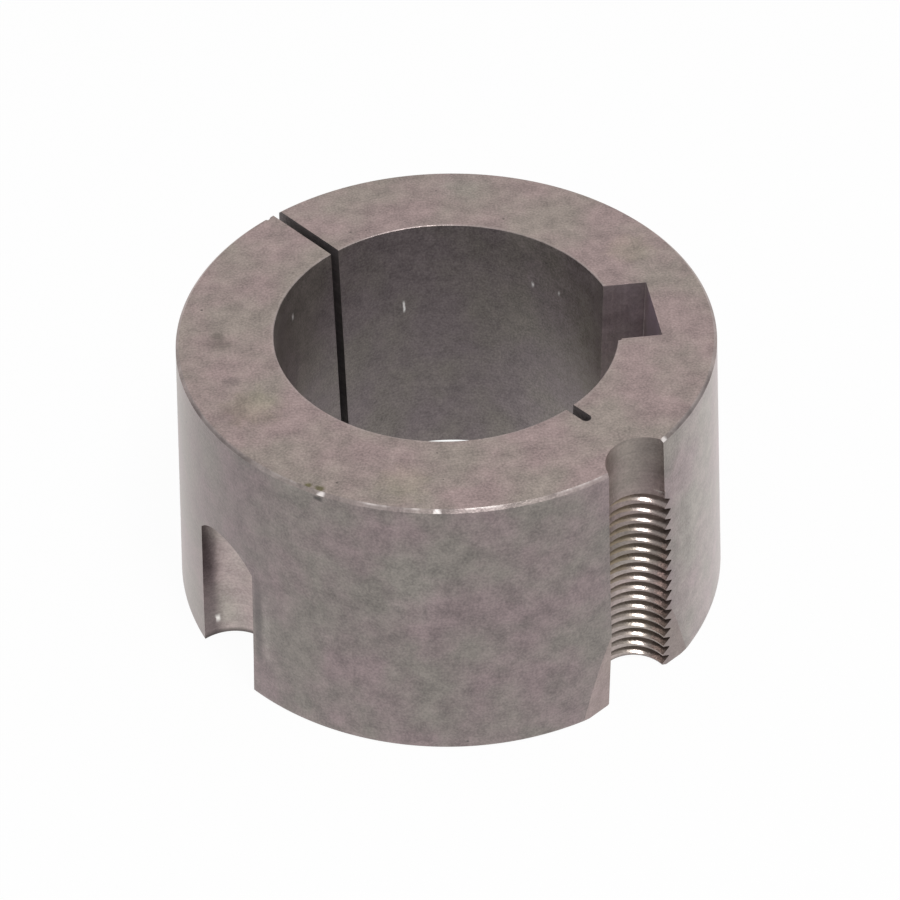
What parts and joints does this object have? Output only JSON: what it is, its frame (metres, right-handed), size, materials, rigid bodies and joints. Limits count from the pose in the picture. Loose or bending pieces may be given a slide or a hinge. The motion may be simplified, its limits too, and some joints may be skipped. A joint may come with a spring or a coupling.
{
  "type": "taper bush",
  "caption": "Slit tapered sleeve with a keyed bore and screw half-holes run out through its side, drawn into a tapered hub to clamp it on a shaft.",
  "frame": {"origin": "on the bore's axis at the large end's face", "axes": "+Z along the bore from the large end to the small end, +X through the middle of the keyway"},
  "size_m": [0.0856, 0.0856, 0.0444],
  "materials": {
    "iron": "machined all over, with a dull dark phosphate coating that is lightly oiled"
  },
  "bodies": {
    "root": {"taper_bush": "iron"}
  },
  "joints": []
}
